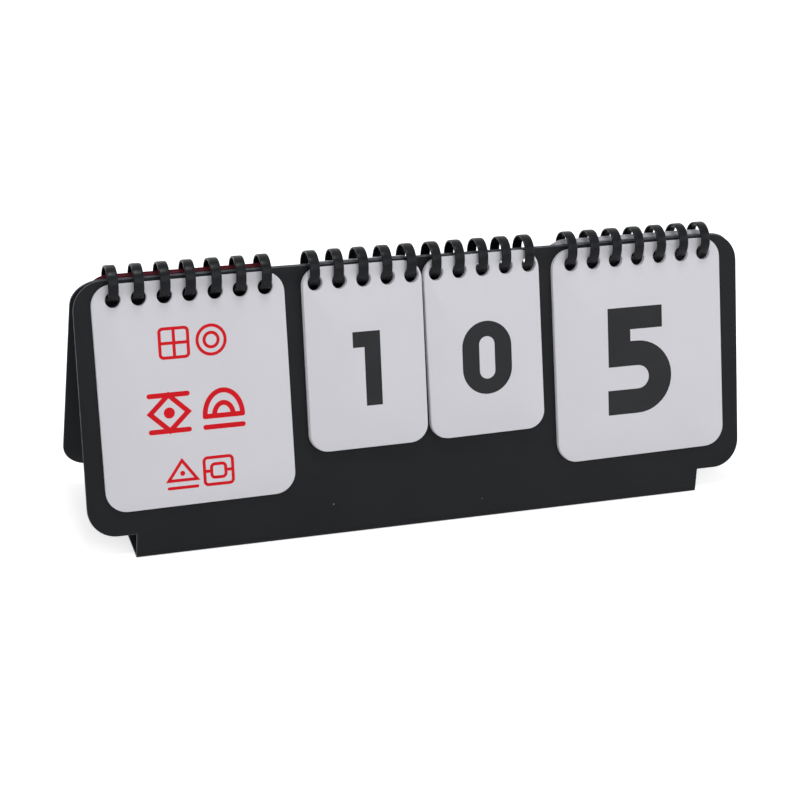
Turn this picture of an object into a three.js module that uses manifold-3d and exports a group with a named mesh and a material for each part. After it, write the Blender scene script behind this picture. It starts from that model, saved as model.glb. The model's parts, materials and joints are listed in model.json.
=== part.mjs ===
// A perpetual flip calendar: a creased tent stand, and four pads of cards hung on plastic ring combs.
// Millimetres, +Z up. X runs along the calendar, the cards face -Y, and the origin is the middle of
// the table face. A place on a board is given by x along it, y up its slope from the fold, and z out of it.

import * as THREE from "three";
import { mergeVertices } from "three/addons/utils/BufferGeometryUtils.js";
import Module from "manifold-3d";

const wasm = await Module();
wasm.setup();

// Stand
const LEAN = THREE.MathUtils.degToRad(17.5); // of each board, from upright
const BOARD_HEIGHT = 103.6; // up the slope, from the fold to the top edge
const BOARD_THICKNESS = 0.8;
const BOARD_CORNER_RADIUS = 11;
const TAB_HEIGHT = 8.8; // the narrower strip between a board and its fold
const TAB_INSET_LEFT = 16; // from a board's end to its tab, at the tab's top
const TAB_INSET_RIGHT = 17.7;
const TAB_TAPER = 1.8; // how much further in the tab's foot is
const FOLD_GAP = 0.3; // between the base panel and each tab
const TOP_GAP = 0.3; // between the two boards' top edges

// Cards
const CARD_THICKNESS = 0.24;
const CARD_GAP = 0.06; // between cards that lie on each other
const FIRST_CARD_GAP = 0.1; // between the front board and the first card on it
const TURNED_CARD_GAP = 0.3; // the same two gaps at the rear, where the turned cards hang loosely
const FIRST_TURNED_GAP = 1;
const TURNED_RISE = 0.4; // how much higher on the rings the turned cards hang
const CARD_TOP_DROP = 0.5; // from a board's top edge down to the cards' top edges
const WORD_CARD = { width: 72.5, height: 85, corner: 8, rings: 7 };
const DIGIT_CARD = { width: 47.5, height: 70, corner: 7, rings: 5 };

// Places along the boards
const LEFT_MARGIN = 6.5;
const RIGHT_MARGIN = 8;
const PAD_SPACE = 6;
const TWIN_PAD_SPACE = 0.5; // between the two narrow pads

// Ring combs
const RING_PITCH = 9.5;
const RING_BAND_WIDTH = 3.9;
const RING_BAND_THICKNESS = 0.8;
const RING_ROOM = 1.69; // from the thickest stack's front to the inside of a ring
const RING_OVERHANG = 1.06; // how far the boards' top edges stand above the rings' axis, up the slope
const SPINE_WIDTH = 4;
const SPINE_THICKNESS = 1;
const HOLE_CLEARANCE = 1.3; // by which a hole is wider than the band in it

// Facets
const RING_STEPS = 16;
const HOLE_STEPS = 8;
const CORNER_STEPS = 4;
const SAME_PLACE = 1e-4; // points nearer than this are one point

// The pads from left to right, each with the numbers of its first card, the one it shows and its last.
// The cards before the shown one have been turned over to the rear board, the first of them first.
const PADS = [
  { name: "title", card: WORD_CARD, first: 1, shown: 5, last: 8, space: 0 },
  { name: "hundreds", card: DIGIT_CARD, first: 0, shown: 1, last: 9, space: PAD_SPACE },
  { name: "tens", card: DIGIT_CARD, first: 0, shown: 0, last: 9, space: TWIN_PAD_SPACE },
  { name: "units", card: WORD_CARD, first: 0, shown: 5, last: 9, space: PAD_SPACE },
];

// What follows from the sizes above
const cardPitch = CARD_THICKNESS + CARD_GAP;
const turnedPitch = CARD_THICKNESS + TURNED_CARD_GAP;
const padsLength = PADS.reduce((sum, pad) => sum + pad.space + pad.card.width, 0);
const boardLength = LEFT_MARGIN + padsLength + RIGHT_MARGIN;
const holeDiameter = RING_BAND_WIDTH + HOLE_CLEARANCE;

// The rings' axis lies behind the front board's face by just what keeps the two boards' tops apart.
const axisSetback =
  BOARD_THICKNESS + TOP_GAP / 2 / Math.cos(LEAN) + RING_OVERHANG * Math.tan(LEAN);

// How far a stack of cards reaches out from the rings' axis.
const mostCards = Math.max(...PADS.map((pad) => pad.last - pad.shown + 1));
const stackDepth = FIRST_CARD_GAP + mostCards * cardPitch - CARD_GAP;
const stackFront = axisSetback + stackDepth;

// Each ring crosses the boards and the cards inside their holes, so the hole row lies midway between
// where its inside leaves the thickest stack and where its outside leaves the board.
const ringInner = stackFront + RING_ROOM;
const ringOuter = ringInner + RING_BAND_THICKNESS;
const crossingAtStack = Math.sqrt(ringInner ** 2 - stackFront ** 2);
const crossingAtBoard = Math.sqrt(ringOuter ** 2 - (axisSetback - BOARD_THICKNESS) ** 2);
const axisUpSlope = BOARD_HEIGHT - RING_OVERHANG;
const holeRow = axisUpSlope - (crossingAtStack + crossingAtBoard) / 2;
const apexUpSlope = axisUpSlope + axisSetback / Math.tan(LEAN);
const baseDepth = 2 * apexUpSlope * Math.sin(LEAN);
const axisHeight = apexUpSlope * Math.cos(LEAN) - axisSetback / Math.sin(LEAN);
const cardTop = BOARD_HEIGHT - CARD_TOP_DROP;

// Materials
const BOARD_COLOUR = 0x242628;
const COMB_COLOUR = 0x262a2d;
const CARD_COLOUR = 0xcdccd2;
const TURNED_TITLE_COLOUR = 0x7a2730;
const BOARD_ROUGHNESS = 0.55;
const COMB_ROUGHNESS = 0.35;
const CARD_ROUGHNESS = 0.6;

function material(color, roughness) {
  return new THREE.MeshStandardMaterial({ color, roughness });
}

// Outlines

// The points of a corner's arc, from one angle to another, both in quarter turns.
function cornerArc(x, y, radius, fromQuarter) {
  return Array.from({ length: CORNER_STEPS + 1 }, (_, i) => {
    const angle = ((fromQuarter + i / CORNER_STEPS) * Math.PI) / 2;
    return new THREE.Vector2(x + radius * Math.cos(angle), y + radius * Math.sin(angle));
  });
}

// A regular polygon with the area of the round hole that it stands for, with a flat at its top.
function holePath(x, y, diameter) {
  const turn = (2 * Math.PI) / HOLE_STEPS;
  const radius = (diameter / 2) * Math.sqrt(turn / Math.sin(turn));
  const points = Array.from({ length: HOLE_STEPS }, (_, i) => {
    const angle = turn * (i + 0.5);
    return new THREE.Vector2(x + radius * Math.cos(angle), y + radius * Math.sin(angle));
  });
  return new THREE.Path(points);
}

// The x of each ring of a pad whose middle is at centreX.
function ringPlaces(pad, centreX) {
  const first = centreX - ((pad.card.rings - 1) * RING_PITCH) / 2;
  return Array.from({ length: pad.card.rings }, (_, i) => first + i * RING_PITCH);
}

function extrude(shape, depth) {
  return new THREE.ExtrudeGeometry(shape, { depth, bevelEnabled: false, steps: 1 });
}

// One card of a pad, standing in the board's own x and y, with its inner face at z = 0.
function cardGeometry(pad, centreX) {
  const { width, height, corner } = pad.card;
  const left = centreX - width / 2 + corner;
  const right = centreX + width / 2 - corner;
  const top = cardTop - corner;
  const bottom = cardTop - height + corner;
  const shape = new THREE.Shape([
    ...cornerArc(right, top, corner, 0),
    ...cornerArc(left, top, corner, 1),
    ...cornerArc(left, bottom, corner, 2),
    ...cornerArc(right, bottom, corner, 3),
  ]);
  shape.holes = ringPlaces(pad, centreX).map((x) => holePath(x, holeRow, holeDiameter));
  return extrude(shape, CARD_THICKNESS);
}

// A board with its tab, from z = -BOARD_THICKNESS to its face at z = 0. The tab's foot is cut level
// with the table: a point z out of the board is on the table where y is -z times the lean's tangent.
function boardGeometry(holes, insetLeft, insetRight) {
  const corner = BOARD_CORNER_RADIUS;
  const end = boardLength / 2;
  const tabLeft = insetLeft - end;
  const tabRight = end - insetRight;
  const shape = new THREE.Shape([
    new THREE.Vector2(tabLeft + TAB_TAPER, 0),
    new THREE.Vector2(tabRight - TAB_TAPER, 0),
    new THREE.Vector2(tabRight, TAB_HEIGHT),
    ...cornerArc(end - corner, TAB_HEIGHT + corner, corner, 3),
    ...cornerArc(end - corner, BOARD_HEIGHT - corner, corner, 0),
    ...cornerArc(corner - end, BOARD_HEIGHT - corner, corner, 1),
    ...cornerArc(corner - end, TAB_HEIGHT + corner, corner, 2),
    new THREE.Vector2(tabLeft, TAB_HEIGHT),
  ]);
  shape.holes = holes.map((x) => holePath(x, holeRow, holeDiameter));
  const geometry = extrude(shape, BOARD_THICKNESS).translate(0, 0, -BOARD_THICKNESS);
  const place = geometry.attributes.position;
  for (let i = 0; i < place.count; i++) {
    const onFold = Math.abs(place.getY(i)) < SAME_PLACE;
    if (onFold) place.setY(i, -place.getZ(i) * Math.tan(LEAN));
  }
  return geometry;
}

// The base panel, as its section carried along the tabs' feet. Its edges are parallel to the tabs' inner
// faces.
function baseGeometry() {
  const endAt = (z) =>
    baseDepth / 2 - z * Math.tan(LEAN) - BOARD_THICKNESS / Math.cos(LEAN) - FOLD_GAP;
  const shape = new THREE.Shape([
    new THREE.Vector2(-endAt(0), 0),
    new THREE.Vector2(endAt(0), 0),
    new THREE.Vector2(endAt(BOARD_THICKNESS), BOARD_THICKNESS),
    new THREE.Vector2(-endAt(BOARD_THICKNESS), BOARD_THICKNESS),
  ]);
  const start = TAB_INSET_LEFT + TAB_TAPER - boardLength / 2;
  const length = boardLength - TAB_INSET_LEFT - TAB_INSET_RIGHT - 2 * TAB_TAPER;
  return extrude(shape, length).translate(0, 0, start);
}

// Solids for joining
function toSolid(geometry) {
  const bare = geometry.clone();
  bare.deleteAttribute("normal");
  bare.deleteAttribute("uv");
  const merged = mergeVertices(bare, SAME_PLACE);
  return new wasm.Manifold(
    new wasm.Mesh({
      numProp: 3,
      vertProperties: new Float32Array(merged.attributes.position.array),
      triVerts: new Uint32Array(merged.index.array),
    }),
  );
}

function toGeometry(solid) {
  const mesh = solid.getMesh();
  const geometry = new THREE.BufferGeometry();
  geometry.setAttribute("position", new THREE.BufferAttribute(mesh.vertProperties, 3));
  geometry.setIndex(new THREE.BufferAttribute(mesh.triVerts, 1));
  geometry.computeVertexNormals();
  return geometry;
}

// A closed ring of flat band around the X axis, its middle at x. The inner facets' middles lie on the
// inner radius and the outer corners on the outer one, so the band is never thicker than its size.
function ringGeometry(x) {
  const inside = ringInner / Math.cos(Math.PI / RING_STEPS);
  const half = RING_BAND_WIDTH / 2;
  const section = [
    new THREE.Vector2(inside, -half),
    new THREE.Vector2(ringOuter, -half),
    new THREE.Vector2(ringOuter, half),
    new THREE.Vector2(inside, half),
    new THREE.Vector2(inside, -half),
  ];
  return new THREE.LatheGeometry(section, RING_STEPS).rotateZ(-Math.PI / 2).translate(x, 0, 0);
}

// A comb: its rings, joined along the bottom by a flat spine that lies inside the stand.
function combGeometry(pad, centreX) {
  const places = ringPlaces(pad, centreX);
  const length = places.at(-1) - places[0] + RING_BAND_WIDTH;
  const spine = new THREE.BoxGeometry(length, SPINE_WIDTH, SPINE_THICKNESS);
  spine.translate(centreX, 0, -(ringInner + ringOuter) / 2);
  const solid = places.reduce((sum, x) => sum.add(toSolid(ringGeometry(x))), toSolid(spine));
  return toGeometry(solid);
}

// Assembly
const calendar = new THREE.Group();

function addPiece(parent, name, geometry, material) {
  const piece = new THREE.Mesh(geometry, material);
  piece.name = name;
  parent.add(piece);
  return piece;
}

// One side of the stand: a turn about Z, then a group that leans with the board's face.
function addSide(turn) {
  const side = new THREE.Group();
  side.rotation.z = turn;
  const slope = new THREE.Group();
  slope.rotation.x = Math.PI / 2 - LEAN;
  slope.position.y = -baseDepth / 2;
  side.add(slope);
  calendar.add(side);
  return slope;
}
const frontSlope = addSide(0);
const rearSlope = addSide(Math.PI);

// The middle of each pad, from the left margin on.
const centres = [];
let edge = -boardLength / 2 + LEFT_MARGIN;
for (const pad of PADS) {
  edge += pad.space;
  centres.push(edge + pad.card.width / 2);
  edge += pad.card.width;
}
const allRings = PADS.flatMap((pad, i) => ringPlaces(pad, centres[i]));

const boardMaterial = material(BOARD_COLOUR, BOARD_ROUGHNESS);
const combMaterial = material(COMB_COLOUR, COMB_ROUGHNESS);
const cardMaterial = material(CARD_COLOUR, CARD_ROUGHNESS);
const turnedTitleMaterial = material(TURNED_TITLE_COLOUR, CARD_ROUGHNESS);

const rearRings = allRings.map((x) => -x);
const frontBoard = boardGeometry(allRings, TAB_INSET_LEFT, TAB_INSET_RIGHT);
const rearBoard = boardGeometry(rearRings, TAB_INSET_RIGHT, TAB_INSET_LEFT);
addPiece(frontSlope, "front_board", frontBoard, boardMaterial);
addPiece(rearSlope, "rear_board", rearBoard, boardMaterial);
const base = addPiece(calendar, "base_panel", baseGeometry(), boardMaterial);
base.rotation.set(Math.PI / 2, Math.PI / 2, 0);

// Adds one card, with its inner face that far out from the board.
function addCard(slope, pad, number, out, centreX, look) {
  const card = addPiece(slope, `${pad.name}_card_${number}`, cardGeometry(pad, centreX), look);
  card.position.z = out;
  return card;
}

PADS.forEach((pad, i) => {
  const turnedLook = pad.name === "title" ? turnedTitleMaterial : cardMaterial;
  for (let number = pad.first; number < pad.shown; number++) {
    const out = FIRST_TURNED_GAP + (number - pad.first) * turnedPitch;
    const card = addCard(rearSlope, pad, number, out, -centres[i], turnedLook);
    card.position.y = TURNED_RISE;
  }
  for (let number = pad.shown; number <= pad.last; number++) {
    const out = FIRST_CARD_GAP + (pad.last - number) * cardPitch;
    addCard(frontSlope, pad, number, out, centres[i], cardMaterial);
  }
  const comb = addPiece(calendar, `${pad.name}_comb`, combGeometry(pad, centres[i]), combMaterial);
  comb.position.z = axisHeight;
});

export default calendar;
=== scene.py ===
"""A perpetual flip calendar, dressed for its picture. Metres, +Z up, the shown cards face -Y."""
import json
import math

import bpy
import numpy as np
from mathutils import Matrix, Vector
from mathutils.geometry import delaunay_2d_cdt

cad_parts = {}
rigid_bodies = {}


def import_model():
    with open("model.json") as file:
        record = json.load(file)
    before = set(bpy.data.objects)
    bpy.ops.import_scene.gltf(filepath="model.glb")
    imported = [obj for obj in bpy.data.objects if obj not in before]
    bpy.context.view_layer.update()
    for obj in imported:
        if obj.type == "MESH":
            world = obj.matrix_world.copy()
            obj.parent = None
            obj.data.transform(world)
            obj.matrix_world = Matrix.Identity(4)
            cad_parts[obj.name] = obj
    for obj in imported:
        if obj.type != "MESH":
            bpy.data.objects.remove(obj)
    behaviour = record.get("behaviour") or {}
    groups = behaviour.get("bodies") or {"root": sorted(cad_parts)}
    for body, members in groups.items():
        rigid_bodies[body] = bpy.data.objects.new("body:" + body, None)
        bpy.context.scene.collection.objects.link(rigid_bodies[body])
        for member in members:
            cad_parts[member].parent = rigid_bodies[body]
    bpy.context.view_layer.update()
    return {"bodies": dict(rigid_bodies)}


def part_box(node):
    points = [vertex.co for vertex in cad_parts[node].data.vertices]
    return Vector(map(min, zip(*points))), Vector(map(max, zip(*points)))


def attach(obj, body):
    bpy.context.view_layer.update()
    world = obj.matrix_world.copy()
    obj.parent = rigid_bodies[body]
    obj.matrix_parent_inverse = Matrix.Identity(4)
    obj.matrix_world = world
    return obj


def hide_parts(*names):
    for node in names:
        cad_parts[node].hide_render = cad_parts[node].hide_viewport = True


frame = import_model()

MM = 0.001

# Stand, in millimetres. A place on a board is x along it, up its slope, and out of its face. The height,
# the tab's ends and the holes follow the photograph a little closer than the CAD does.
LEAN = math.radians(17.5)
BOARD_HEIGHT = 103.95
BOARD_THICKNESS = 0.8
BOARD_CORNER = 11.0
BOARD_EDGE = 0.18
TAB_HEIGHT = 8.8
TAB_TOP_INSETS = (17.8, 18.5)
TAB_FOOT_INSETS = (17.1, 19.6)
# The boards end this far up the slope, where the base is bent up to meet them. The crease's outer
# radius, and the least that its inner one may be
CREASE_CUT = 1.3
CREASE_RADIUS = 0.2
CREASE_INSIDE = 0.05
HOLE_ROW = 97.047
HOLE_RADIUS = 2.92
RING_PITCH = 9.5

# Cards, in millimetres. Their sizes too follow the photograph a little closer than the CAD's.
CARD_THICKNESS = 0.24
CARD_EDGE = 0.07
CARD_PITCH = 0.3
FIRST_CARD_GAP = 0.1
# The turned cards lie more loosely, and hang a little higher
TURNED_PITCH = 0.54
FIRST_TURNED_GAP = 1.0
TURNED_RISE = 0.4
CARD_TOP = 103.1
# How far off their outline the front cards' holes are punched: along x, and up the slope
SHOWN_HOLE_SHIFT = (0.4, 0.35)
# How far an inner card may lie out of line, and by what share of that, in radians, it may be turned
CARD_PLAY = 0.12
PLAY_SHARES = (1, 1, 0.01)
WORD_CARD = {"width": 72.1, "height": 84.5, "corner": 8.0, "rings": 7}
DIGIT_CARD = {"width": 46.8, "height": 70.1, "corner": 7.0, "rings": 5}
# Each pad's first and last card, and the one that it shows. Lower ones are turned to the rear.
PADS = (
    {"name": "title", "card": WORD_CARD, "first": 1, "shown": 5, "last": 8},
    {"name": "hundreds", "card": DIGIT_CARD, "first": 0, "shown": 1, "last": 9},
    {"name": "tens", "card": DIGIT_CARD, "first": 0, "shown": 0, "last": 9},
    {"name": "units", "card": WORD_CARD, "first": 0, "shown": 5, "last": 9},
)
# How each pad hangs in its rings' play: along x, up the slope, and turned to the left in radians. Its
# inner cards lie a little to the left of the shown one and lower. The comb has play along x too.
PAD_LIE = {
    "title": (-0.1, -0.4, 0.009),
    "hundreds": (0.2, 0.0, 0.004),
    "tens": (0.0, 0.4, 0.012),
    "units": (-0.1, -0.35, 0.01),
}
INNER_LIE = (-0.16, -0.06, 0.0)
COMB_LIE = {"title": 0.1, "hundreds": 0.0, "tens": 0.0, "units": -0.4}

# Combs, in millimetres
BAND_WIDTH = 3.9
BAND_THICKNESS = 0.8
BAND_SQUARENESS = 4.0
SPINE_WIDTH = 4.0
SPINE_THICKNESS = 1.0
# The spine's ends: how long they are, and the share of its section that is left at their tips
SPINE_END = 0.6
SPINE_TIP = 0.6
# The most that a ring is turned about Z
RING_TILT = math.radians(1.2)

# Print, in millimetres: each digit's width, height and stroke, how far up the slope its foot is, and how
# far right of its card's middle it is printed
SMALL_DIGIT = {"width": 20.3, "height": 28.6, "stroke": 6.4, "foot": 49.0}
LARGE_DIGIT = {"width": 27.7, "height": 42.8, "stroke": 9.9, "foot": 35.0}
DIGIT_SHIFT = {"hundreds": 0.6, "tens": 1.0, "units": 0.2}
# A bowl's sides, and its level parts and most level bars, are these shares of a digit's stroke
SIDE_SHARE = 1.09
LEVEL_SHARE = 0.94
# An end of a bowl is this share of a full semicircle, which leaves its sides some length
NEARLY = 0.999
TITLE_ROWS = (
    {"centres": ((-97.6, 79.3), (-83.6, 79.3)), "half": (5.9, 6.0), "stroke": 1.2},
    {"centres": ((-100.9, 53.4), (-80.4, 53.4)), "half": (8.1, 7.7), "stroke": 1.9},
    {"centres": ((-97.3, 30.0), (-83.6, 30.0)), "half": (6.0, 5.7), "stroke": 1.2},
)

# Steps of the curves, the angle past which an edge is sharp, and the distance within which two points
# are one
CORNER_STEPS = 12
HOLE_STEPS = 40
EDGE_STEPS = 3
ARC_STEPS = 20
RING_STEPS = 96
SECTION_STEPS = 24
CREASE_STEPS = 8
SHARP_ANGLE = math.radians(38)
SAME_PLACE = 1e-6

SEED = 5
rng = np.random.default_rng(SEED)

# What the CAD says of the whole
board_low, board_high = (np.array(corner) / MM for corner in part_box("front_board"))
FOOT = -board_low[1]
BOARD_END = board_high[0]
_, comb_high = (np.array(corner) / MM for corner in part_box("title_comb"))
RING_OUTER = comb_high[1]
RING_AXIS = comb_high[2] - RING_OUTER


# Outlines

def arc(centre, radii, start, end, steps):
    """An ellipse's arc: the centre plus the radii times cosine and sine of evenly spaced angles."""
    turn = np.radians(np.linspace(start, end, steps + 1))
    return np.column_stack([centre[0] + radii[0] * np.cos(turn), centre[1] + radii[1] * np.sin(turn)])


def round_hole(x, y, radius):
    """A circle, clockwise, so that the material lies on its left."""
    return arc((x, y), (radius, radius), 360, 0, HOLE_STEPS)[:-1]


def rounded_box(left, right, bottom, top, radius):
    """A rectangle with a quarter circle at each corner, anticlockwise."""
    radii = (radius, radius)
    return np.concatenate([
        arc((right - radius, top - radius), radii, 0, 90, CORNER_STEPS),
        arc((left + radius, top - radius), radii, 90, 180, CORNER_STEPS),
        arc((left + radius, bottom + radius), radii, 180, 270, CORNER_STEPS),
        arc((right - radius, bottom + radius), radii, 270, 360, CORNER_STEPS),
    ])


def to_left(ahead):
    """Unit directions turned by a right angle to the left."""
    return np.column_stack([-ahead[:, 1], ahead[:, 0]])


def draw_in(loop, distance):
    """The outline moved to its left: each corner goes along the mean of its two sides' normals, divided
    by one plus the normals' product, which keeps the sides parallel to where they were."""
    ahead = np.roll(loop, -1, axis=0) - loop
    ahead = ahead / np.linalg.norm(ahead, axis=1, keepdims=True)
    next_normal = to_left(ahead)
    last_normal = to_left(np.roll(ahead, 1, axis=0))
    share = 1 + np.sum(next_normal * last_normal, axis=1, keepdims=True)
    return loop + distance * (next_normal + last_normal) / share


def anticlockwise(loop):
    """The same outline, turned round if its signed area is negative."""
    after = np.roll(loop, -1, axis=0)
    area = np.sum(loop[:, 0] * after[:, 1] - loop[:, 1] * after[:, 0])
    return loop if area > 0 else loop[::-1]


# Strokes of print. A stroke is an outline and, for a closed one, the outline of the bare place in it.

def box_stroke(left, right, bottom, top):
    """A plain bar."""
    return np.array([(left, bottom), (right, bottom), (right, top), (left, top)]), None


def line_stroke(path, width):
    """A path made wide: half the width to each side of it, along the normals of its points."""
    path = np.asarray(path, float)
    ahead = np.gradient(path, axis=0)
    normal = to_left(ahead / np.linalg.norm(ahead, axis=1, keepdims=True)) * width / 2
    return anticlockwise(np.concatenate([path - normal, (path + normal)[::-1]])), None


def closed_stroke(loop, width):
    """A closed path made wide: drawn out and in by half the width."""
    loop = anticlockwise(loop)
    return draw_in(loop, -width / 2), draw_in(loop, width / 2)


def dot_stroke(x, y, radius):
    """A filled circle."""
    return anticlockwise(round_hole(x, y, radius)), None


def ended_line(start, end, width):
    """A straight line with round ends."""
    return [line_stroke([start, end], width), dot_stroke(*start, width / 2), dot_stroke(*end, width / 2)]


def bowl(left, right, bottom, top, stroke):
    """A closed oval of stroke: two semicircles with straight sides, outside and inside. Its sides are a
    little heavier than its top and bottom."""
    side = SIDE_SHARE * stroke
    level = LEVEL_SHARE * stroke
    box = (left + side, right - side, bottom + level, top - level)
    outer = min(right - left, top - bottom) / 2 * NEARLY
    inner = min(box[1] - box[0], box[3] - box[2]) / 2 * NEARLY
    return rounded_box(left, right, bottom, top, outer), rounded_box(*box, inner)


def digit_strokes(number, width, height, stroke):
    """The strokes of a plain bold digit, from its left foot. Its proportions are shares of its width,
    height and stroke, and a bend's angles are in degrees."""
    half = stroke / 2
    middle = width / 2
    reach = middle - half
    two_bowls = (height + stroke) / 2
    crown = (middle, height - middle)
    if number == 0:
        return [bowl(0, width, 0, height, stroke)]
    if number == 1:
        flag = 0.158 * height
        left = (width - flag - stroke) / 2
        top = box_stroke(left, left + flag + stroke, height - LEVEL_SHARE * stroke, height)
        return [top, box_stroke(left + flag, left + flag + stroke, 0, height)]
    if number == 2:
        curve = arc(crown, (reach, reach), 172, -38, ARC_STEPS)
        path = np.concatenate([curve, [(1.1 * half, 0.9 * half)]])
        return [line_stroke(path, stroke), box_stroke(0, width, 0, LEVEL_SHARE * stroke)]
    if number == 3:
        radii = (reach, two_bowls / 2 - half)
        upper = arc((middle, height - two_bowls / 2), radii, 165, -90, ARC_STEPS)
        lower = arc((middle, two_bowls / 2), radii, 90, -165, ARC_STEPS)
        return [line_stroke(upper, stroke), line_stroke(lower, stroke)]
    if number == 4:
        stem = 0.56 * width
        bar = 0.2 * height
        slope = np.array([(0, bar), (1.15 * stroke, bar), (stem + stroke, height), (stem, height)])
        return [
            (slope, None),
            box_stroke(0, width, bar, bar + 0.9 * stroke),
            box_stroke(stem, stem + stroke, 0, height),
        ]
    if number == 5:
        centre = (0.47 * width, 0.341 * height)
        curve = arc(centre, (0.53 * width - half, 0.341 * height - half), 90, -90, ARC_STEPS)
        path = np.concatenate([[(half, curve[0][1])], curve, [(0, half)]])
        return [
            line_stroke(path, stroke),
            box_stroke(0.015 * width, 1.02 * stroke, curve[0][1] - half, height),
            box_stroke(0.015 * width, 0.865 * width, height - 0.9 * stroke, height),
        ]
    if number in (6, 9):
        ring = bowl(0, width, 0, 0.64 * height, stroke)
        curve = arc(crown, (reach, reach), 180, 28, ARC_STEPS)
        tail = line_stroke(np.concatenate([[(half, 0.3 * height)], curve]), stroke)
        strokes = [ring, tail]
        if number == 6:
            return strokes
        whole = np.array([width, height])
        return [(whole - outer, None if inner is None else whole - inner) for outer, inner in strokes]
    if number == 7:
        leg = np.array([
            (0.26 * width, 0), (0.26 * width + 1.1 * stroke, 0),
            (width, height - stroke), (width, height - half), (width - 1.1 * stroke, height - half),
        ])
        return [(leg, None), box_stroke(0, width, height - LEVEL_SHARE * stroke, height)]
    upper = bowl(0.04 * width, 0.96 * width, height - two_bowls, height, stroke)
    return [upper, bowl(0, width, 0, two_bowls, stroke)]


def mark_strokes(kind, centre, half, stroke):
    """One plain geometric mark in a box of that centre and half size. Its proportions are shares of
    that half size and of its stroke."""
    x, y = centre
    wide, high = half[0] - stroke / 2, half[1] - stroke / 2
    frame_loop = rounded_box(x - wide, x + wide, y - high, y + high, 0.25 * wide)
    if kind == "window":
        return [
            closed_stroke(frame_loop, stroke),
            *ended_line((x, y - high), (x, y + high), stroke),
            *ended_line((x - wide, y), (x + wide, y), stroke),
        ]
    if kind == "target":
        outer = arc((x, y), (wide, high), 0, 360, 2 * ARC_STEPS)[:-1]
        inner = arc((x, y), (0.5 * wide, 0.5 * high), 0, 360, 2 * ARC_STEPS)[:-1]
        return [closed_stroke(outer, stroke), closed_stroke(inner, stroke)]
    if kind == "lozenge":
        points = np.array([(1, 0), (0, 1), (-1, 0), (0, -1)], float)
        outer = points * (wide, high) + (x, y)
        return [
            closed_stroke(outer, stroke),
            *ended_line((x - wide, y + high), (x + wide, y + high), stroke),
            *ended_line((x - wide, y - high), (x + wide, y - high), stroke),
            dot_stroke(x, y, 1.1 * stroke),
        ]
    if kind == "arches":
        outer = arc((x, y - 0.4 * high), (wide, 1.4 * high), 180, 0, ARC_STEPS)
        inner = arc((x, y - 0.4 * high), (0.5 * wide, 0.7 * high), 180, 0, ARC_STEPS)
        return [
            line_stroke(outer, stroke),
            line_stroke(inner, stroke),
            *ended_line((x - wide, y - 0.4 * high), (x + wide, y - 0.4 * high), stroke),
            *ended_line((x - wide, y - high), (x + wide, y - high), stroke),
        ]
    if kind == "peak":
        triangle = np.array([(x - wide, y - 0.45 * high), (x + wide, y - 0.45 * high), (x, y + high)])
        return [
            closed_stroke(triangle, stroke),
            dot_stroke(x, y + 0.05 * high, 0.8 * stroke),
            *ended_line((x - wide, y - high), (x + wide, y - high), stroke),
        ]
    near, low = 0.5 * wide, 0.5 * high
    inner_loop = rounded_box(x - near, x + near, y - low, y + low, 0.25 * wide)
    return [
        closed_stroke(frame_loop, stroke),
        closed_stroke(inner_loop, stroke),
        *ended_line((x - wide, y), (x - near, y), stroke),
        *ended_line((x + near, y), (x + wide, y), stroke),
    ]


MARKS = ("window", "target", "lozenge", "arches", "peak", "nest")


# Places

def on_front(points):
    """From x, up the slope and out of the face, in mm, to the frame in metres: up and out are turned by
    the lean, and the foot lies half the stand's depth before its middle."""
    x, up, out = points.T
    y = up * math.sin(LEAN) - out * math.cos(LEAN) - FOOT
    z = up * math.cos(LEAN) + out * math.sin(LEAN)
    return np.column_stack([x, y, z]) * MM


def on_rear(points):
    """The same place mirrored to the rear board."""
    return on_front(points) * (1, -1, 1)


# Meshes. A piece's looks come in this order.
FACE_LOOK, EDGE_LOOK, PRINT_LOOK = range(3)


def make_piece(name, points, faces, looks, kinds, smooth, body, nodes):
    """A mesh object at the origin, with a material number and a smooth flag for each face."""
    mesh = bpy.data.meshes.new(name)
    mesh.from_pydata(points.tolist(), [], faces)
    for look in looks:
        mesh.materials.append(look)
    mesh.polygons.foreach_set("material_index", np.asarray(kinds, np.int32))
    mesh.polygons.foreach_set("use_smooth", np.asarray(smooth, bool))
    mesh.set_sharp_from_angle(angle=SHARP_ANGLE)
    mesh.update()
    piece = bpy.data.objects.new(name, mesh)
    bpy.context.scene.collection.objects.link(piece)
    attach(piece, body)
    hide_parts(*nodes)
    return piece


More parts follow.
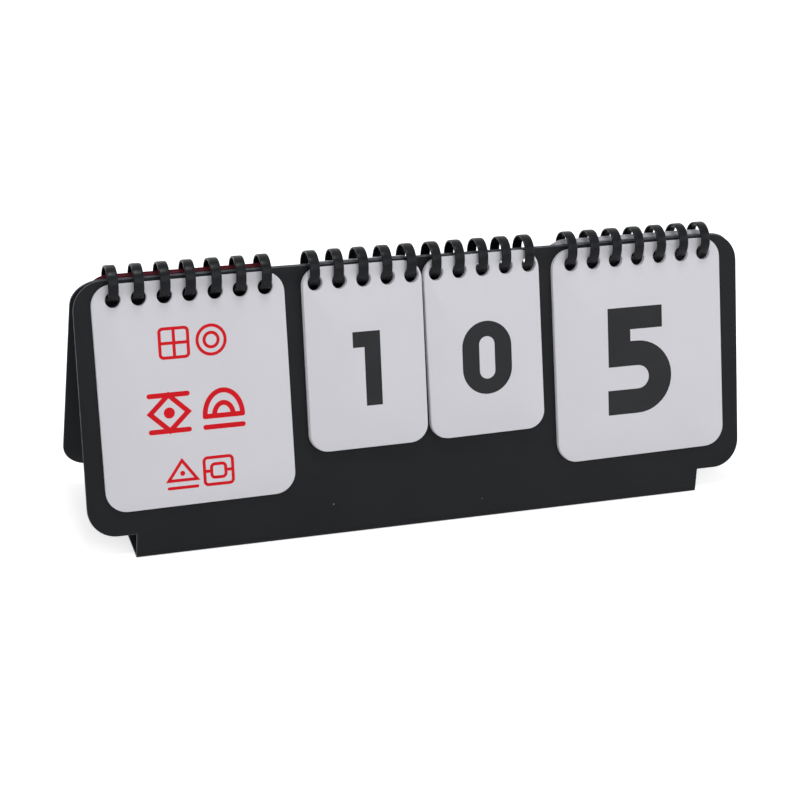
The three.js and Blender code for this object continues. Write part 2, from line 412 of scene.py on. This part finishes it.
def fill(loops, strokes):
    """Triangles of the face between an outline and its holes, and for each one whether it is printed.
    All the outlines are kept as edges of one constrained triangulation. A triangle belongs to the face
    inside the first outline and in none of the holes, and is printed inside any stroke."""
    parts = list(loops)
    pairs = []
    for outer, inner in strokes:
        pairs.append((len(parts), None if inner is None else len(parts) + 1))
        parts += [outer] if inner is None else [outer, inner]
    starts = np.cumsum([0] + [len(part) for part in parts[:-1]])
    order = []
    for start, part in zip(starts, parts):
        row = np.arange(start, start + len(part))
        turned = anticlockwise(part)
        order.append((row if np.array_equal(turned, part) else row[::-1]).tolist())
    flat = np.concatenate(parts)
    filled = delaunay_2d_cdt(flat.tolist(), [], order, 0, SAME_PLACE)
    places, _, triangles, from_places, _, within = filled
    places = np.array([tuple(place) for place in places])
    member = np.zeros((len(triangles), len(parts)), bool)
    for row, owners in zip(member, within):
        row[owners] = True
    kept = member[:, 0] & ~member[:, 1:len(loops)].any(axis=1)
    printed = np.zeros(len(triangles), bool)
    for outer, inner in pairs:
        bare = 0 if inner is None else member[:, inner]
        printed |= member[:, outer] & ~np.asarray(bare, bool)
    triangles = np.array(triangles)[kept]
    a, b, c = (places[triangles[:, i]] for i in range(3))
    area = (b[:, 0] - a[:, 0]) * (c[:, 1] - a[:, 1]) - (b[:, 1] - a[:, 1]) * (c[:, 0] - a[:, 0])
    triangles[area < 0] = triangles[area < 0][:, ::-1]
    rim_size = sum(len(loop) for loop in loops)
    source = np.array([min(owners, default=rim_size) for owners in from_places])
    return places, triangles, printed[kept], np.where(source < rim_size, source, -1)


def plate(
    name, loops, thickness, edge, place, looks, body, node,
    out=0.0, strokes=(), inside=False, creased=False,
):
    """A flat plate with soft edges. Each outline is carried through the thickness: at a depth below the
    nearer face of edge times one minus the cosine of an angle, it is drawn in by edge times one minus
    its sine. The two faces are filled between the outlines. inside puts the print on the inner face.
    creased says that the first side of the outline runs on into a crease and has no bare edge."""
    turn = np.linspace(0, math.pi / 2, EDGE_STEPS + 1)
    depth = edge * (1 - np.cos(turn))
    inset = edge * (1 - np.sin(turn))
    heights = np.concatenate([depth, (thickness - depth)[::-1]])
    insets = np.concatenate([inset, inset[::-1]])
    points = []
    quads = []
    inner_rim = []
    outer_rim = []
    count = 0
    for loop in loops:
        rows = [np.column_stack([draw_in(loop, i), np.full(len(loop), h)]) for i, h in zip(insets, heights)]
        index = count + np.arange(len(rows) * len(loop)).reshape(len(rows), len(loop))
        beside = np.roll(index, -1, axis=1)
        quads.append(np.stack([index[:-1], beside[:-1], beside[1:], index[1:]], -1).reshape(-1, 4))
        points += rows
        inner_rim.append(index[0])
        outer_rim.append(index[-1])
        count += index.size
    faces = np.concatenate(quads).tolist()
    kinds = np.full(len(faces), EDGE_LOOK)
    if creased:
        kinds[:(len(heights) - 1) * len(loops[0]):len(loops[0])] = FACE_LOOK
    kinds = kinds.tolist()
    smooth = [True] * len(faces)
    cap_loops = [draw_in(loop, edge) for loop in loops]
    for rim, height, is_inner in ((inner_rim, 0.0, True), (outer_rim, thickness, False)):
        places, triangles, printed, source = fill(cap_loops, strokes if is_inner == inside else ())
        rim = np.concatenate(rim)
        own = np.flatnonzero(source < 0)
        index = np.where(source < 0, 0, rim[source])
        index[own] = count + np.arange(len(own))
        points.append(np.column_stack([places[own], np.full(len(own), height)]))
        count += len(own)
        triangles = index[triangles]
        faces += (triangles[:, ::-1] if is_inner else triangles).tolist()
        kinds += np.where(printed, PRINT_LOOK, FACE_LOOK).tolist()
        smooth += [False] * len(triangles)
    points = np.concatenate(points) + (0, 0, out)
    if place is on_rear:
        faces = [face[::-1] for face in faces]
    return make_piece(name, place(points), faces, looks, kinds, smooth, body, [node])


def tube_faces(rows, around):
    """Quads between neighbouring rows of a closed section."""
    index = np.arange(rows * around).reshape(rows, around)
    beside = np.roll(index, -1, axis=1)
    return np.stack([index[:-1], beside[:-1], beside[1:], index[1:]], -1).reshape(-1, 4)


# Materials

DUST_SPACING = 13.0
DUST_SIZE = 0.32
DRIFT_DETAIL = 4.0
GRAIN_DETAIL = 3.0
GRAIN_ROUGHNESS = 0.6
# Nearly all of a noise lies between these values
NOISE_SPREAD = {"From Min": 0.3, "From Max": 0.7}


def linear(hexa):
    """An sRGB hex colour as linear red, green, blue and one."""
    parts = np.array([int(hexa[i:i + 2], 16) for i in (1, 3, 5)]) / 255
    return (*np.where(parts <= 0.04045, parts / 12.92, ((parts + 0.055) / 1.055) ** 2.4), 1.0)


def add(tree, kind, settings=(), links=()):
    """Adds one node, sets its properties and input values, and joins its inputs to other outputs."""
    node = tree.nodes.new(kind)
    for key, value in dict(settings).items():
        if isinstance(key, int) or key in node.inputs:
            node.inputs[key].default_value = value
        else:
            setattr(node, key, value)
    for key, output in dict(links).items():
        tree.links.new(output, node.inputs[key])
    return node


def surface(name, dark, light, patch, roughness, grain, depth, specular, dust=None):
    """A shader whose colour drifts between two hex colours in patches of that size in mm, and whose
    roughness and bump follow a finer grain of another size and a depth in mm. dust is a hex colour for
    specks that lie about as far apart as DUST_SPACING."""
    look = bpy.data.materials.new(name)
    look.use_nodes = True
    tree = look.node_tree
    tree.nodes.clear()
    where = add(tree, "ShaderNodeTexCoord").outputs["Object"]
    wide = {"Scale": 1 / (patch * MM), "Detail": DRIFT_DETAIL}
    drift = add(tree, "ShaderNodeTexNoise", wide, {"Vector": where})
    share = add(tree, "ShaderNodeMapRange", NOISE_SPREAD, {"Value": drift.outputs[0]})
    colours = {"data_type": "RGBA", 6: linear(dark), 7: linear(light)}
    colour = add(tree, "ShaderNodeMix", colours, {0: share.outputs[0]})
    fine = {"Scale": 1 / (grain * MM), "Detail": GRAIN_DETAIL, "Roughness": GRAIN_ROUGHNESS}
    tooth = add(tree, "ShaderNodeTexNoise", fine, {"Vector": where})
    span = {**NOISE_SPREAD, "To Min": roughness[0], "To Max": roughness[1]}
    rough = add(tree, "ShaderNodeMapRange", span, {"Value": tooth.outputs[0]})
    relief = {"Strength": 1.0, "Distance": depth * MM}
    bump = add(tree, "ShaderNodeBump", relief, {"Height": tooth.outputs[0]})
    if dust:
        cells = add(tree, "ShaderNodeTexVoronoi", {"Scale": 1 / (DUST_SPACING * MM)}, {"Vector": where})
        size = DUST_SIZE / DUST_SPACING
        edge = {"From Min": size, "From Max": 0.5 * size}
        speck = add(tree, "ShaderNodeMapRange", edge, {"Value": cells.outputs["Distance"]})
        pale = {"data_type": "RGBA", 7: linear(dust)}
        colour = add(tree, "ShaderNodeMix", pale, {0: speck.outputs[0], 6: colour.outputs[2]})
    shader = add(
        tree, "ShaderNodeBsdfPrincipled", {"Specular IOR Level": specular},
        {"Base Color": colour.outputs[2], "Roughness": rough.outputs[0], "Normal": bump.outputs[0]},
    )
    add(tree, "ShaderNodeOutputMaterial", (), {"Surface": shader.outputs[0]})
    return look


# Grey board laminated with matt black paper: near black, with a soft wide sheen, a faint even grain and
# a few specks of dust.
# The paper's real grain is about 0.1 mm, too fine to show, so it is drawn at 0.7 mm.
BOARD_LOOK = surface(
    "black_laminated_board", "#181a1c", "#1d1e21", 35, (0.42, 0.56), 0.7, 0.012, 0.1, "#8a8d92",
)
# The board's cut edge, which the black paper wraps. It is drawn much lighter grey than the faces: a painted
# highlight where the edges catch the light.
BOARD_EDGE_HIGHLIT_LOOK = surface("board_edge_painted_highlight", "#3a3d41", "#62656b", 4, (0.5, 0.7), 0.5, 0.015, 0.15)
# White card with a matt coating: cool pale grey, quite even, with a low sheen. The coating's mottle of
# about 0.2 mm is drawn at 1.1 mm.
CARD_LOOK = surface("matt_coated_card", "#cdccd2", "#d0cfd5", 30, (0.5, 0.62), 1.1, 0.006, 0.2)
# Its cut edge is bare pulp, rougher than the coating. It is drawn paler than the face: partly the pulp's
# own white, partly a painted highlight where the edges catch the light.
CARD_EDGE_PALE_HIGHLIT_LOOK = surface("pale_highlit_card_edge", "#cfced5", "#e0dfe5", 2, (0.75, 0.9), 0.4, 0.01, 0.1)
# Offset ink on the coating: soft black with a slight shine of its own.
BLACK_INK = surface("offset_black_ink", "#28292b", "#2c2d2f", 12, (0.4, 0.5), 0.9, 0.004, 0.1)
RED_INK = surface("offset_red_ink", "#c8101c", "#d0141f", 8, (0.4, 0.5), 0.9, 0.004, 0.1)
# Cards flooded all over with dark red ink.
RED_CARD_LOOK = surface("red_flooded_card", "#56161f", "#5c1a23", 25, (0.45, 0.58), 1.0, 0.006, 0.15)
RED_EDGE_LOOK = surface("red_card_edge", "#5a1c26", "#74343f", 2, (0.7, 0.85), 0.4, 0.01, 0.1)
# Moulded black polypropylene: dark with a bluish sheen, slick enough for soft highlights on each ring.
COMB_LOOK = surface("moulded_black_plastic", "#090c10", "#0f1217", 5, (0.24, 0.34), 0.8, 0.01, 0.14)


# Stand

def ring_places(pad):
    """The x of each ring of a pad, from the middle of the card that the CAD shows."""
    low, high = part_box(f"{pad['name']}_card_{pad['shown']}")
    middle = (low[0] + high[0]) / 2 / MM
    steps = np.arange(pad["card"]["rings"]) - (pad["card"]["rings"] - 1) / 2
    return middle, middle + steps * RING_PITCH


def tab_ends(height):
    """The x of the tab's left and right side at a height, in a straight line from its foot to its top."""
    left, right = (
        foot + (top - foot) * height / TAB_HEIGHT for foot, top in zip(TAB_FOOT_INSETS, TAB_TOP_INSETS)
    )
    return left - BOARD_END, BOARD_END - right


def board_outline():
    """The board's outline, anticlockwise from its tab's left foot: the tab, then four rounded corners."""
    foot_left, foot_right = tab_ends(CREASE_CUT)
    tab_left, tab_right = tab_ends(TAB_HEIGHT)
    radii = (BOARD_CORNER, BOARD_CORNER)
    side = BOARD_END - BOARD_CORNER
    return np.concatenate([
        [(foot_left, CREASE_CUT), (foot_right, CREASE_CUT), (tab_right, TAB_HEIGHT)],
        arc((side, TAB_HEIGHT + BOARD_CORNER), radii, 270, 360, CORNER_STEPS),
        arc((side, BOARD_HEIGHT - BOARD_CORNER), radii, 0, 90, CORNER_STEPS),
        arc((-side, BOARD_HEIGHT - BOARD_CORNER), radii, 90, 180, CORNER_STEPS),
        arc((-side, TAB_HEIGHT + BOARD_CORNER), radii, 180, 270, CORNER_STEPS),
        [(tab_left, TAB_HEIGHT)],
    ])


all_rings = np.concatenate([ring_places(pad)[1] for pad in PADS])
board_holes = [round_hole(x, HOLE_ROW, HOLE_RADIUS) for x in all_rings]
board_loops = [board_outline(), *board_holes]
# The edges' look is lighter than the faces: a painted highlight along the cut edges.
board_looks = (BOARD_LOOK, BOARD_EDGE_HIGHLIT_LOOK)
for node, place in (("front_board", on_front), ("rear_board", on_rear)):
    plate(
        f"{node}_sheet", board_loops, BOARD_THICKNESS, BOARD_EDGE, place, board_looks,
        "stand", node, out=-BOARD_THICKNESS, creased=True,
    )


def creased_base():
    """The sheet under the stand, bent up into each tab's foot. Its section across X is a line at each
    depth below the outer face: down the slope, round a crease whose radius shrinks with the depth, and
    to the middle, then mirrored. Each end is drawn in as a plate's edge is."""
    turn = np.linspace(0, math.pi / 2, EDGE_STEPS + 1)
    depth = BOARD_EDGE * (1 - np.cos(turn))
    inset = BOARD_EDGE * (1 - np.sin(turn))
    depths = np.concatenate([depth, (BOARD_THICKNESS - depth)[::-1]])
    insets = np.concatenate([inset, inset[::-1]])
    spread = math.tan(math.pi / 4 + LEAN / 2)
    bend = np.linspace(math.pi - LEAN, 1.5 * math.pi, CREASE_STEPS + 1)
    radius = np.maximum(CREASE_RADIUS - depths, CREASE_INSIDE)[:, None]
    deep = depths[:, None]
    arc_y = -FOOT + spread * (deep + radius) + radius * np.cos(bend)
    arc_z = deep + radius + radius * np.sin(bend)
    start_y = -FOOT + deep * math.cos(LEAN) + CREASE_CUT * math.sin(LEAN)
    start_z = -deep * math.sin(LEAN) + CREASE_CUT * math.cos(LEAN)
    half_y = np.hstack([start_y, arc_y])
    half_z = np.hstack([start_z, arc_z])
    y = np.hstack([half_y, -half_y[:, ::-1]])
    z = np.hstack([half_z, half_z[:, ::-1]])
    left, right = (np.full(y.shape[1], end) for end in tab_ends(0))
    left[[0, -1]], right[[0, -1]] = tab_ends(CREASE_CUT)
    x = np.concatenate([left + insets[:, None], (right - insets[:, None])[::-1]])
    section = np.stack([x, np.concatenate([y, y[::-1]]), np.concatenate([z, z[::-1]])], -1)
    rows = section.transpose(1, 0, 2)
    around = rows.shape[1]
    quads = tube_faces(len(rows), around)
    last = (len(rows) - 1) * around + np.arange(around)
    faces = quads.tolist() + [np.arange(around)[::-1].tolist(), last.tolist()]
    step = np.arange(len(quads)) % around
    flat = (step == len(depths) - 1) | (step == around - 1)
    kinds = np.where(flat, FACE_LOOK, EDGE_LOOK).tolist() + [FACE_LOOK, FACE_LOOK]
    smooth = [True] * len(quads) + [False, False]
    points = rows.reshape(-1, 3) * MM
    make_piece("base_sheet", points, faces, board_looks, kinds, smooth, "stand", ["base_panel"])


creased_base()


# Cards

def card_loops(pad, middle, rings, turned, play):
    """A card's outline and holes, moved and turned a little about the middle of its hole row. The holes
    of the front cards are a little off, and the turned cards hang a little higher."""
    card = pad["card"]
    half = card["width"] / 2
    box = (middle - half, middle + half, CARD_TOP - card["height"], CARD_TOP)
    outline = rounded_box(*box, card["corner"])
    off = (0.0, 0.0) if turned else SHOWN_HOLE_SHIFT
    loops = [outline, *(round_hole(x + off[0], HOLE_ROW + off[1], HOLE_RADIUS) for x in rings)]
    centre = np.array([middle, HOLE_ROW])
    shift = np.array([play[0], play[1] + (TURNED_RISE if turned else 0.0)])
    turn = np.array([[1.0, play[2]], [-play[2], 1.0]])
    return [(loop - centre) @ turn + centre + shift for loop in loops]


def card_print(pad, number, middle):
    """The strokes of print on a card: a digit, or rows of marks that differ from card to card."""
    if pad["name"] == "title":
        strokes = []
        for row, line in enumerate(TITLE_ROWS):
            for column, centre in enumerate(line["centres"]):
                kind = MARKS[(2 * row + column + number - pad["shown"]) % len(MARKS)]
                strokes += mark_strokes(kind, centre, line["half"], line["stroke"])
        return strokes
    size = SMALL_DIGIT if pad["card"] is DIGIT_CARD else LARGE_DIGIT
    foot = np.array([middle + DIGIT_SHIFT[pad["name"]] - size["width"] / 2, size["foot"]])
    strokes = digit_strokes(number, size["width"], size["height"], size["stroke"])
    return [(outer + foot, None if inner is None else inner + foot) for outer, inner in strokes]


def add_card(pad, number, middle, rings):
    """One card at its level: front cards lie close, and turned ones hang loosely, print inwards."""
    node = f"{pad['name']}_card_{number}"
    turned = number < pad["shown"]
    body = f"{node}_body" if f"{node}_body" in frame["bodies"] else "stand"
    play = np.zeros(3) if turned else np.array(PAD_LIE[pad["name"]])
    if body == "stand":
        play = play + rng.uniform(-CARD_PLAY, CARD_PLAY, 3) * PLAY_SHARES
        play = play if turned else play + INNER_LIE
    is_red = turned and pad["name"] == "title"
    ink = RED_INK if pad["name"] == "title" else BLACK_INK
    looks = (RED_CARD_LOOK, RED_EDGE_LOOK, ink) if is_red else (CARD_LOOK, CARD_EDGE_PALE_HIGHLIT_LOOK, ink)
    out = FIRST_CARD_GAP + (pad["last"] - number) * CARD_PITCH
    if turned:
        out = FIRST_TURNED_GAP + (number - pad["first"]) * TURNED_PITCH
    loops = card_loops(pad, middle, rings, turned, play)
    plate(
        f"{node}_sheet", loops, CARD_THICKNESS, CARD_EDGE, on_rear if turned else on_front, looks, body,
        node, out=out,
        strokes=() if is_red else card_print(pad, number, middle), inside=turned,
    )


# Combs

def oval_section(width, thickness, steps):
    """A flat band's section with soft sides and a slight crown: half the size times the sign and a small
    power of the cosine and sine of evenly spaced angles."""
    turn = np.linspace(0, 2 * math.pi, steps, endpoint=False)
    power = 2 / BAND_SQUARENESS
    across = width / 2 * np.sign(np.cos(turn)) * np.abs(np.cos(turn)) ** power
    out = thickness / 2 * np.sign(np.sin(turn)) * np.abs(np.sin(turn)) ** power
    return across, out


def add_comb(pad, rings):
    """Rings and spine. A ring is the band's section carried round a circle about the combs' axis and
    tilted a little about Z. The spine is a wider section carried along X, narrowing at its two ends."""
    across, out = oval_section(BAND_WIDTH, BAND_THICKNESS, SECTION_STEPS)
    turn = np.linspace(0, 2 * math.pi, RING_STEPS, endpoint=False)[:, None]
    radius = RING_OUTER - BAND_THICKNESS / 2 + out
    points = []
    faces = []
    count = 0
    index = np.arange(RING_STEPS * SECTION_STEPS).reshape(RING_STEPS, SECTION_STEPS)
    beside = np.roll(index, -1, axis=1)
    after = np.roll(index, -1, axis=0)
    quads = np.stack([index, beside, np.roll(beside, -1, axis=0), after], -1).reshape(-1, 4)
    for x in rings:
        tilt = rng.uniform(-RING_TILT, RING_TILT)
        y = radius * np.sin(turn)
        z = RING_AXIS + radius * np.cos(turn)
        wide = np.broadcast_to(across, y.shape)
        ring_x = x + wide * math.cos(tilt) - y * math.sin(tilt)
        ring_y = wide * math.sin(tilt) + y * math.cos(tilt)
        points.append(np.stack([ring_x + COMB_LIE[pad["name"]], ring_y, z], -1).reshape(-1, 3))
        faces += (quads + count).tolist()
        count += RING_STEPS * SECTION_STEPS
    wide, thick = oval_section(SPINE_WIDTH, SPINE_THICKNESS, SECTION_STEPS)
    start = rings[0] - BAND_WIDTH / 2
    end = rings[-1] + BAND_WIDTH / 2
    along = np.array([start, start + SPINE_END, end - SPINE_END, end])[:, None]
    size = np.array([SPINE_TIP, 1.0, 1.0, SPINE_TIP])[:, None]
    spine_x = np.broadcast_to(along, (len(along), SECTION_STEPS))
    spine_z = RING_AXIS - (RING_OUTER - BAND_THICKNESS / 2) + thick * size
    points.append(np.stack([spine_x, wide * size, spine_z], -1).reshape(-1, 3))
    spine = tube_faces(len(along), SECTION_STEPS) + count
    first = count + np.arange(SECTION_STEPS)
    last = first + (len(along) - 1) * SECTION_STEPS
    faces += spine.tolist() + [first[::-1].tolist(), last.tolist()]
    kinds = [FACE_LOOK] * len(faces)
    smooth = [True] * (len(faces) - 2) + [False, False]
    place = np.concatenate(points) * MM
    node = f"{pad['name']}_comb"
    make_piece(f"{node}_rings", place, faces, (COMB_LOOK,), kinds, smooth, "stand", [node])


for pad in PADS:
    middle, rings = ring_places(pad)
    for number in range(pad["first"], pad["last"] + 1):
        add_card(pad, number, middle, rings)
    add_comb(pad, rings)


# Camera, at the photograph's place and angle

SENSOR = 36.0
PHOTO_WIDTH = 800
FOCAL_PIXELS = 1944.606
NEAREST_SEEN = 0.01
CAMERA_PLACE = (-0.238594, -0.643491, 0.382631)
CAMERA_YAW = math.radians(19.977)
CAMERA_PITCH = math.radians(26.721)
CAMERA_ROLL = math.radians(3.595)

scene = bpy.context.scene
camera_data = bpy.data.cameras.new("camera")
camera_data.sensor_width = SENSOR
camera_data.lens = FOCAL_PIXELS * SENSOR / PHOTO_WIDTH
camera_data.clip_start = NEAREST_SEEN
camera = bpy.data.objects.new("camera", camera_data)
scene.collection.objects.link(camera)
flat = math.cos(CAMERA_PITCH)
ahead = Vector((math.sin(CAMERA_YAW) * flat, math.cos(CAMERA_YAW) * flat, -math.sin(CAMERA_PITCH)))
level = Vector((math.cos(CAMERA_YAW), -math.sin(CAMERA_YAW), 0))
upright = level.cross(ahead)
right = level * math.cos(CAMERA_ROLL) + upright * math.sin(CAMERA_ROLL)
above = upright * math.cos(CAMERA_ROLL) - level * math.sin(CAMERA_ROLL)
turned = Matrix((right, above, -ahead)).transposed().to_4x4()
camera.matrix_world = Matrix.Translation(CAMERA_PLACE) @ turned
scene.camera = camera


# Light, floor and background

FLOOR_SIZE = 6.0
FLOOR_DROP = 0.0004
FLOOR_PAINT = "#e6e6e6"
AMBIENT = 0.43
FLOOR_GLOW = 0.62
LAMPS = (
    {"name": "overhead_softbox", "place": (0.0, -0.2, 1.6), "size": 0.4, "power": 7.7},
    {"name": "front_softbox", "place": (0.1, -1.6, 0.95), "size": 1.2, "power": 7.4},
    {"name": "rear_softbox", "place": (-0.5, 1.6, 1.1), "size": 1.2, "power": 9.0},
    {"name": "right_softbox", "place": (1.3, -1.0, 0.8), "size": 1.0, "power": 5.9},
)


def seen_directly(tree):
    """One for a ray from the camera, a mirror or glass, and nought for one that carries light."""
    path = add(tree, "ShaderNodeLightPath")
    rays = [path.outputs[name] for name in ("Is Camera Ray", "Is Glossy Ray", "Is Transmission Ray")]
    first = add(tree, "ShaderNodeMath", {"operation": "MAXIMUM"}, {0: rays[0], 1: rays[1]})
    either = add(tree, "ShaderNodeMath", {"operation": "MAXIMUM"}, {0: first.outputs[0], 1: rays[2]})
    return either.outputs[0]


world = bpy.data.worlds.new("studio")
world.use_nodes = True
world.node_tree.nodes.clear()
level_node = add(
    world.node_tree, "ShaderNodeMapRange", {"To Min": AMBIENT, "To Max": 1.0},
    {"Value": seen_directly(world.node_tree)},
)
white = {"Color": (1.0, 1.0, 1.0, 1.0)}
sky = add(world.node_tree, "ShaderNodeBackground", white, {"Strength": level_node.outputs[0]})
add(world.node_tree, "ShaderNodeOutputWorld", (), {"Surface": sky.outputs[0]})
scene.world = world

# The floor is plain white paint. A little glow that only the camera sees lifts it to the background's
# white, and the object's shadow still darkens the rest.
floor_look = bpy.data.materials.new("white_painted_floor")
floor_look.use_nodes = True
tree = floor_look.node_tree
tree.nodes.clear()
paint = add(tree, "ShaderNodeBsdfDiffuse", {"Color": linear(FLOOR_PAINT)})
glow_level = add(
    tree, "ShaderNodeMath", {"operation": "MULTIPLY", 1: FLOOR_GLOW}, {0: seen_directly(tree)},
)
glow = add(tree, "ShaderNodeEmission", (), {"Strength": glow_level.outputs[0]})
both = add(tree, "ShaderNodeAddShader", (), {0: paint.outputs[0], 1: glow.outputs[0]})
add(tree, "ShaderNodeOutputMaterial", (), {"Surface": both.outputs[0]})

floor_mesh = bpy.data.meshes.new("floor")
reach = FLOOR_SIZE / 2
corners = [(-reach, -reach), (reach, -reach), (reach, reach), (-reach, reach)]
floor_mesh.from_pydata([(x, y, -FLOOR_DROP) for x, y in corners], [], [(0, 1, 2, 3)])
floor_mesh.materials.append(floor_look)
floor = bpy.data.objects.new("floor", floor_mesh)
scene.collection.objects.link(floor)

for lamp in LAMPS:
    light = bpy.data.lights.new(lamp["name"], "AREA")
    light.shape = "SQUARE"
    light.size = lamp["size"]
    light.energy = lamp["power"]
    holder = bpy.data.objects.new(lamp["name"], light)
    holder.location = lamp["place"]
    holder.rotation_euler = Vector(lamp["place"]).to_track_quat("Z", "Y").to_euler()
    scene.collection.objects.link(holder)

scene.view_settings.view_transform = "Standard"
